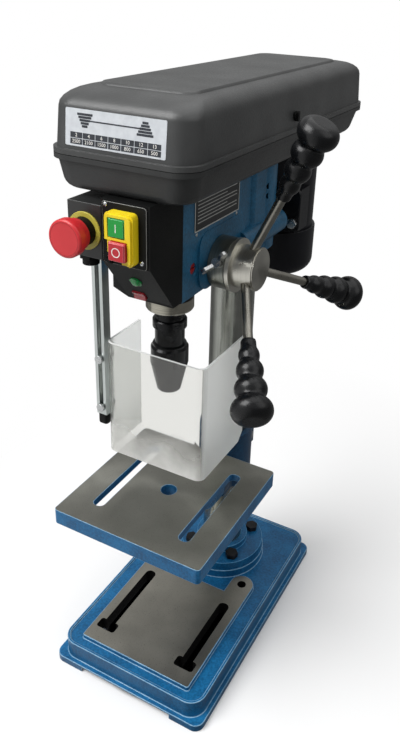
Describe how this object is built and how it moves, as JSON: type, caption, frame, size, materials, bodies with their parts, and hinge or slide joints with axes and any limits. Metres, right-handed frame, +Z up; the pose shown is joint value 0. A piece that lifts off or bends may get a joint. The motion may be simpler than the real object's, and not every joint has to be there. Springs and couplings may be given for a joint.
{
  "type": "benchtop drill press",
  "caption": "Bench drill press with belt-drive head, lever-fed quill, keyless chuck, swing guard and tilting table on a round column over a slotted cast base.",
  "frame": {"origin": "on the bench plane, midway between the two bench bolt holes", "axes": "+X to the operator's right, +Y to the rear, +Z up along the column"},
  "size_m": [0.2229, 0.41, 0.595],
  "materials": {
    "blue_paint": "hammered gloss paint",
    "dark_blue_paint": "gloss paint",
    "machined_iron": "ground",
    "polished_steel": "polished",
    "turned_steel": "turned",
    "zinc_steel": "bright zinc",
    "black_steel": "black oxide",
    "jaw_steel": "hardened",
    "sealing_red": "lacquer",
    "black_plastic": "fine grain",
    "cover_plastic": "satin grain",
    "plate_black": "satin",
    "yellow_plastic": "gloss",
    "green_plastic": "gloss",
    "red_plastic": "gloss",
    "clear_plastic": "clear",
    "aluminium": "anodised",
    "motor_black": "satin paint",
    "belt_rubber": "matt"
  },
  "bodies": {
    "frame": {"base": "blue_paint", "column_flange": "dark_blue_paint", "flange_bolts": "black_steel", "column": "polished_steel", "head_casting": "blue_paint", "column_screws": "black_steel", "nose_ring": "turned_steel", "sealed_screw": "sealing_red", "switch_housing": "black_plastic", "switch_plate": "plate_black", "switch_frame": "yellow_plastic", "power_lamp": "green_plastic", "estop_box": "black_plastic", "estop_ring": "yellow_plastic", "estop_collar": "black_plastic", "cable_gland": "black_plastic", "guard_block": "black_plastic", "spring_cap": "black_steel", "return_spring": "jaw_steel", "pulley_pan": "cover_plastic", "lid_hinge_pin": "zinc_steel", "sleeve_bearing": "turned_steel", "drive_belt": "belt_rubber"},
    "quill": {"quill": "polished_steel"},
    "spindle": {"spindle": "polished_steel", "chuck_body": "black_steel"},
    "chuck_sleeve": {"chuck_sleeve": "black_steel"},
    "jaw_1": {"chuck_jaw_1": "jaw_steel"},
    "jaw_2": {"chuck_jaw_2": "jaw_steel"},
    "jaw_3": {"chuck_jaw_3": "jaw_steel"},
    "feed": {"feed_shaft": "polished_steel", "feed_hub": "turned_steel", "feed_rods": "polished_steel", "feed_grips": "black_plastic", "spring_nut": "zinc_steel"},
    "depth_stop": {"depth_ring": "turned_steel", "depth_screw": "zinc_steel"},
    "drive_sleeve": {"spindle_pulley": "aluminium"},
    "motor": {"motor_shell": "motor_black", "motor_bell": "motor_black", "motor_plate": "blue_paint", "motor_bolts": "zinc_steel", "slide_rods": "polished_steel"},
    "rotor": {"motor_shaft": "polished_steel", "motor_pulley": "aluminium"},
    "lid": {"pulley_lid": "cover_plastic"},
    "latch": {"lid_latch": "black_plastic"},
    "bracket": {"table_bracket": "dark_blue_paint", "tilt_bolt": "zinc_steel"},
    "clamp": {"table_clamp": "zinc_steel"},
    "table": {"table": "machined_iron"},
    "guard_arm": {"guard_link": "black_steel", "guard_bar": "aluminium", "bar_cap": "black_plastic"},
    "guard": {"guard_shell": "clear_plastic", "guard_screws": "zinc_steel"},
    "start": {"start_button": "green_plastic"},
    "stop": {"stop_button": "red_plastic"},
    "estop": {"estop_button": "red_plastic"},
    "rocker": {"lamp_rocker": "red_plastic"}
  },
  "joints": [
    {"name": "quill_feed", "type": "slide", "parent": "frame", "child": "quill", "axis": [0, 0, -1], "range_m": [0, 0.05], "stiffness_N_per_m": 600, "springref_m": -0.06},
    {"name": "feed_turn", "type": "hinge", "parent": "frame", "child": "feed", "pos_m": [0, -0.054, 0.4447], "axis": [1, 0, 0], "range_deg": [0, 319], "deforming": ["return_spring"]},
    {"name": "depth_set", "type": "hinge", "parent": "feed", "child": "depth_stop", "pos_m": [0, -0.054, 0.4447], "axis": [1, 0, 0], "range_deg": [-150, 150]},
    {"name": "spindle_spin", "type": "hinge", "parent": "quill", "child": "spindle", "pos_m": [0, -0.078, 0.4], "axis": [0, 0, 1], "continuous": true},
    {"name": "chuck_turn", "type": "hinge", "parent": "spindle", "child": "chuck_sleeve", "pos_m": [0, -0.078, 0.345], "axis": [0, 0, 1], "range_deg": [-2700, 810]},
    {"name": "jaw_1_slide", "type": "slide", "parent": "spindle", "child": "jaw_1", "axis": [0, 0.1908, 0.9816], "range_m": [-0.0201, 0.0061]},
    {"name": "jaw_2_slide", "type": "slide", "parent": "spindle", "child": "jaw_2", "axis": [-0.1652, -0.0954, 0.9816], "range_m": [-0.0201, 0.0061]},
    {"name": "jaw_3_slide", "type": "slide", "parent": "spindle", "child": "jaw_3", "axis": [0.1652, -0.0954, 0.9816], "range_m": [-0.0201, 0.0061]},
    {"name": "drive_spin", "type": "hinge", "parent": "frame", "child": "drive_sleeve", "pos_m": [0, -0.078, 0.53], "axis": [0, 0, 1], "continuous": true},
    {"name": "belt_tension", "type": "slide", "parent": "frame", "child": "motor", "axis": [0, -1, 0], "range_m": [0, 0.012], "deforming": ["drive_belt"]},
    {"name": "motor_spin", "type": "hinge", "parent": "motor", "child": "rotor", "pos_m": [0, 0.142, 0.53], "axis": [0, 0, 1], "continuous": true},
    {"name": "lid_hinge", "type": "hinge", "parent": "frame", "child": "lid", "pos_m": [-0.069, 0, 0.5455], "axis": [0, -1, 0], "range_deg": [0, 100]},
    {"name": "latch_turn", "type": "hinge", "parent": "lid", "child": "latch", "pos_m": [0.063, 0.0275, 0.56], "axis": [1, 0, 0], "range_deg": [-90, 0]},
    {"name": "table_lift", "type": "slide", "parent": "frame", "child": "bracket", "axis": [0, 0, 1], "range_m": [-0.08, 0.008]},
    {"name": "clamp_turn", "type": "hinge", "parent": "bracket", "child": "clamp", "pos_m": [0, 0.084, 0.1735], "axis": [1, 0, 0], "range_deg": [-90, 90]},
    {"name": "table_tilt", "type": "hinge", "parent": "bracket", "child": "table", "pos_m": [0, -0.002, 0.158], "axis": [0, 1, 0], "range_deg": [-45, 45]},
    {"name": "guard_swing", "type": "hinge", "parent": "frame", "child": "guard_arm", "pos_m": [-0.062, -0.095, 0.47], "axis": [0, 0, -1], "range_deg": [0, 100]},
    {"name": "guard_height", "type": "slide", "parent": "guard_arm", "child": "guard", "axis": [0, 0, 1], "range_m": [0, 0.04]},
    {"name": "start_push", "type": "slide", "parent": "frame", "child": "start", "axis": [0, 1, 0], "range_m": [0, 0.002], "stiffness_N_per_m": 400, "springref_m": -0.001},
    {"name": "stop_push", "type": "slide", "parent": "frame", "child": "stop", "axis": [0, 1, 0], "range_m": [0, 0.003], "stiffness_N_per_m": 400, "springref_m": -0.001},
    {"name": "estop_push", "type": "slide", "parent": "frame", "child": "estop", "axis": [0, 1, 0], "range_m": [0, 0.004]},
    {"name": "rocker_tip", "type": "hinge", "parent": "frame", "child": "rocker", "pos_m": [0.005, -0.13134, 0.43546], "axis": [1, 0, 0], "range_deg": [0, 12]}
  ],
  "couplings": [
    {"joint": "feed_turn", "follows": "quill_feed", "rad_per_m": 111.11},
    {"joint": "drive_spin", "follows": "motor_spin", "ratio": 1},
    {"joint": "spindle_spin", "follows": "motor_spin", "ratio": 1},
    {"joint": "jaw_1_slide", "follows": "chuck_turn", "m_per_rad": 0.00042441},
    {"joint": "jaw_2_slide", "follows": "chuck_turn", "m_per_rad": 0.00042441},
    {"joint": "jaw_3_slide", "follows": "chuck_turn", "m_per_rad": 0.00042441}
  ]
}
